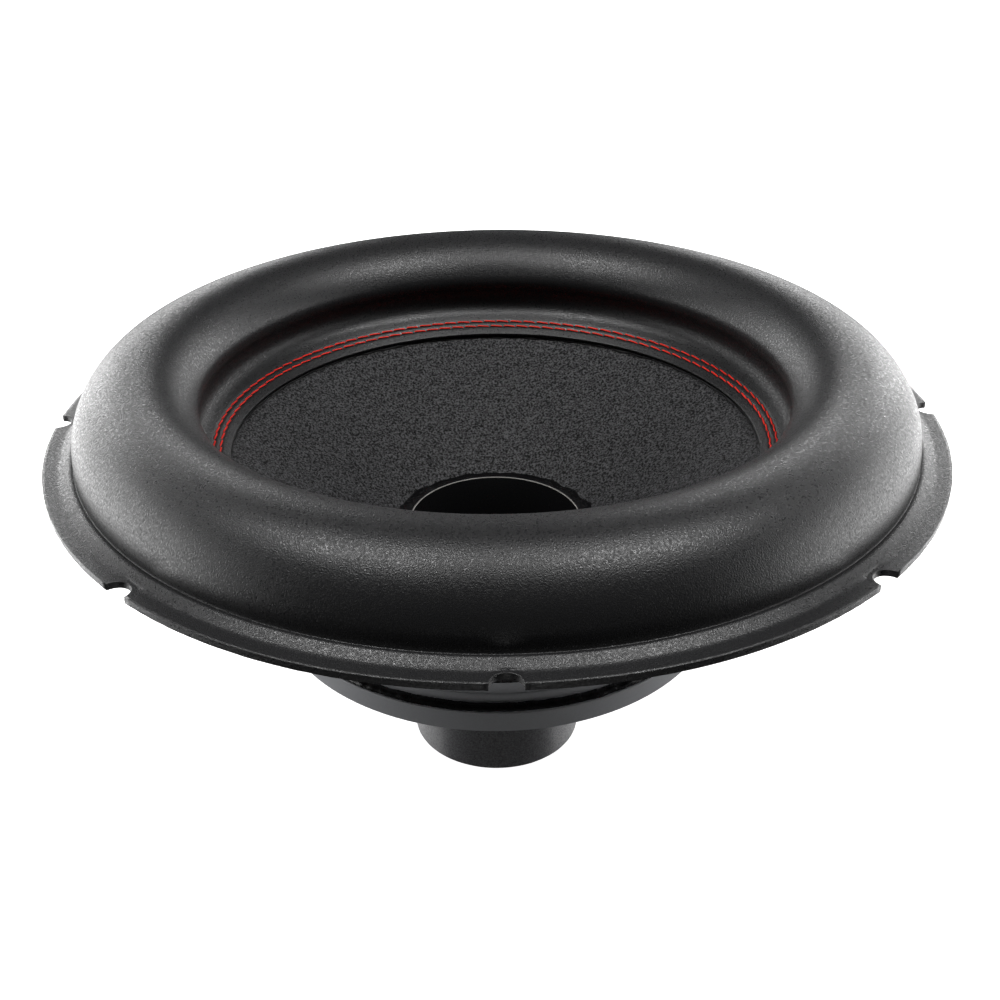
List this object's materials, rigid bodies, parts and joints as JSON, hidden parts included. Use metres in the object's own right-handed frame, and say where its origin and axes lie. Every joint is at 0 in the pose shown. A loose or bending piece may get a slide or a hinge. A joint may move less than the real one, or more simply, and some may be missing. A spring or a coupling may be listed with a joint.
{
  "type": "subwoofer recone kit",
  "caption": "Soft parts of a car subwoofer: a stitched paper cone with a large half-roll surround on a notched flange, on a voice coil with two spiders and their plastic rings.",
  "frame": {"origin": "centre of the voice coil's lower end, on the axis", "axes": "+Z along the axis, the way the cone faces; +X and -Y each pass through a notch in the flange, and -Y is the front"},
  "size_m": [0.3778, 0.3778, 0.1987],
  "materials": {
    "surround_foam": "matt moulded foam skin with a fine grain",
    "cone_pulp": null,
    "black_adhesive": "cured glossy rubber-based glue",
    "red_thread": "twisted polyester thread",
    "former": "thin anodised aluminium sheet",
    "magnet_wire": "black enamelled wire, close wound",
    "wrap_paper": null,
    "copper": null,
    "solder": "solder",
    "spider_cloth": "resin-treated woven cloth",
    "grey_plastic": "satin moulded ABS"
  },
  "bodies": {
    "mounting": {"surround": "surround_foam", "upper_spider": "spider_cloth", "lower_spider": "spider_cloth", "spider_spacer_ring": "grey_plastic", "spider_clamp_ring": "grey_plastic", "upper_rim_adhesive": "black_adhesive", "lower_rim_adhesive": "black_adhesive"},
    "moving_assembly": {"cone": "cone_pulp", "lip_adhesive": "black_adhesive", "needle_thread_outer": "red_thread", "needle_thread_inner": "red_thread", "bobbin_thread_outer": "red_thread", "bobbin_thread_inner": "red_thread", "voice_coil_former": "former", "winding_inner": "magnet_wire", "winding_outer": "magnet_wire", "former_wrap": "wrap_paper", "flat_leads": "copper", "solder_pads": "solder", "cone_neck_adhesive": "black_adhesive", "cone_underside_adhesive": "black_adhesive", "upper_spider_adhesive": "black_adhesive", "lower_spider_adhesive": "black_adhesive"}
  },
  "joints": [
    {"name": "cone_stroke", "type": "slide", "parent": "mounting", "child": "moving_assembly", "axis": [0, 0, 1], "range_m": [-0.025, 0.025], "stiffness_N_per_m": 6000, "deforming": ["surround", "upper_spider", "lower_spider"]}
  ]
}
